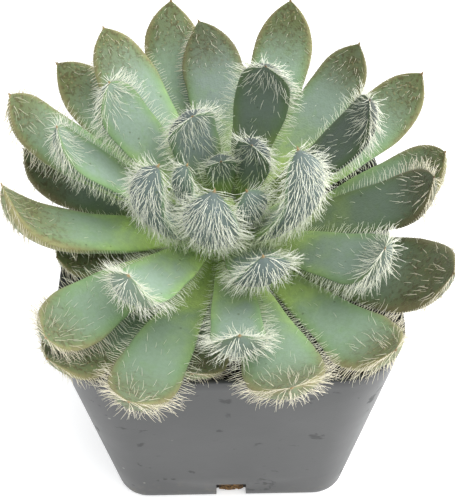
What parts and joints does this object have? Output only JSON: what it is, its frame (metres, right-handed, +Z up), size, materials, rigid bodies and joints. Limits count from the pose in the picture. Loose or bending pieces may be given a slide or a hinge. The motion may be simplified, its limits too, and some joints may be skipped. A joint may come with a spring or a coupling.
{
  "type": "potted succulent",
  "caption": "Hairy rosette succulent with thick pointed grey-green leaves, leaning a little forward in dark soil in a small square tapered nursery pot with drain notches.",
  "frame": {"origin": "middle of the pot's flat underside", "axes": "+Z up out of the soil, +Y towards the back of the plant, -Y the side that the rosette leans to and that the viewer sees, +X to the viewer's right"},
  "size_m": [0.0791, 0.0832, 0.0958],
  "materials": {
    "pot_plastic": "satin dark grey moulded plastic with fine scuffs",
    "soil": "moist near-black potting mix with brown root fibres",
    "stem": "dull yellow-green",
    "leaf": "powdery grey-green, yellower at the base, with cream hairs",
    "leaf_inner": "powdery blue-grey under dense cream hairs",
    "leaf_old": "dull olive green with brown edges",
    "hairs": "cream-white translucent plant hairs"
  },
  "bodies": {
    "root": {"leaf_heart_1": "leaf_inner", "leaf_heart_2": "leaf_inner", "leaf_heart_3": "leaf_inner", "leaf_inner_1": "leaf_inner", "leaf_inner_2": "leaf_inner", "leaf_inner_3": "leaf_inner", "leaf_inner_4": "leaf_inner", "leaf_inner_5": "leaf_inner", "leaf_inner_6": "leaf_inner", "leaf_lower_1": "leaf", "leaf_lower_2": "leaf", "leaf_lower_3": "leaf", "leaf_lower_4": "leaf", "leaf_lower_5": "leaf", "leaf_lower_6": "leaf", "leaf_lower_7": "leaf", "leaf_lower_8": "leaf", "leaf_middle_1": "leaf", "leaf_middle_2": "leaf", "leaf_middle_3": "leaf", "leaf_middle_4": "leaf", "leaf_middle_5": "leaf", "leaf_middle_6": "leaf", "leaf_middle_7": "leaf", "leaf_old_1": "leaf_old", "leaf_old_2": "leaf_old", "leaf_old_3": "leaf_old", "leaf_old_4": "leaf_old", "leaf_old_5": "leaf_old", "leaf_old_6": "leaf_old", "leaf_outer_1": "leaf", "leaf_outer_2": "leaf", "leaf_outer_3": "leaf", "leaf_outer_4": "leaf", "leaf_outer_5": "leaf", "leaf_outer_6": "leaf", "leaf_outer_7": "leaf", "leaf_outer_8": "leaf", "leaf_outer_9": "leaf", "pot": "pot_plastic", "soil": "soil", "stem": "stem"}
  },
  "joints": []
}
